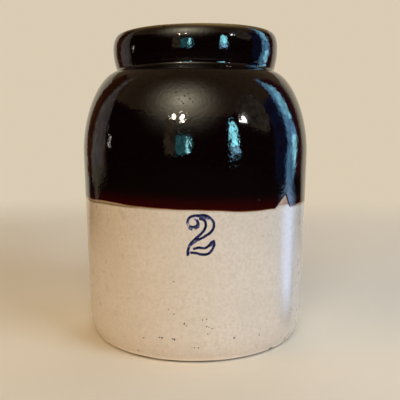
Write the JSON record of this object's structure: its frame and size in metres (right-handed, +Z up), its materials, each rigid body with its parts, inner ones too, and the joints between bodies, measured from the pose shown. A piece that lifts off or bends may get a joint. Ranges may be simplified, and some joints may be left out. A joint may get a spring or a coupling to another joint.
{
  "type": "stoneware preserve jar",
  "caption": "Wide-mouthed stoneware storage jar with a rolled tie-down rim, brown slip glaze over the shoulder, white glaze below and a blue stamped capacity figure.",
  "frame": {"origin": "centre of the foot ring, on the surface that the jar stands on", "axes": "+Z up along the jar's axis, -Y towards the capacity figure, +X to the right of the figure"},
  "size_m": [0.22, 0.22, 0.29],
  "materials": {
    "bare_clay": "matt unglazed buff stoneware",
    "white_glaze": "satin off-white glaze with fine specks and pits",
    "brown_glaze": "very glossy near-black brown slip glaze",
    "lining_glaze": "glossy brown slip lining",
    "blue_ink": "cobalt blue stamped under the glaze"
  },
  "bodies": {
    "root": {"base_dish": "bare_clay", "lower_wall": "bare_clay", "shoulder": "bare_clay", "rim_collar": "bare_clay", "white_glaze": "white_glaze", "brown_glaze": "brown_glaze", "lining_glaze": "lining_glaze", "capacity_figure": "blue_ink"}
  },
  "joints": []
}
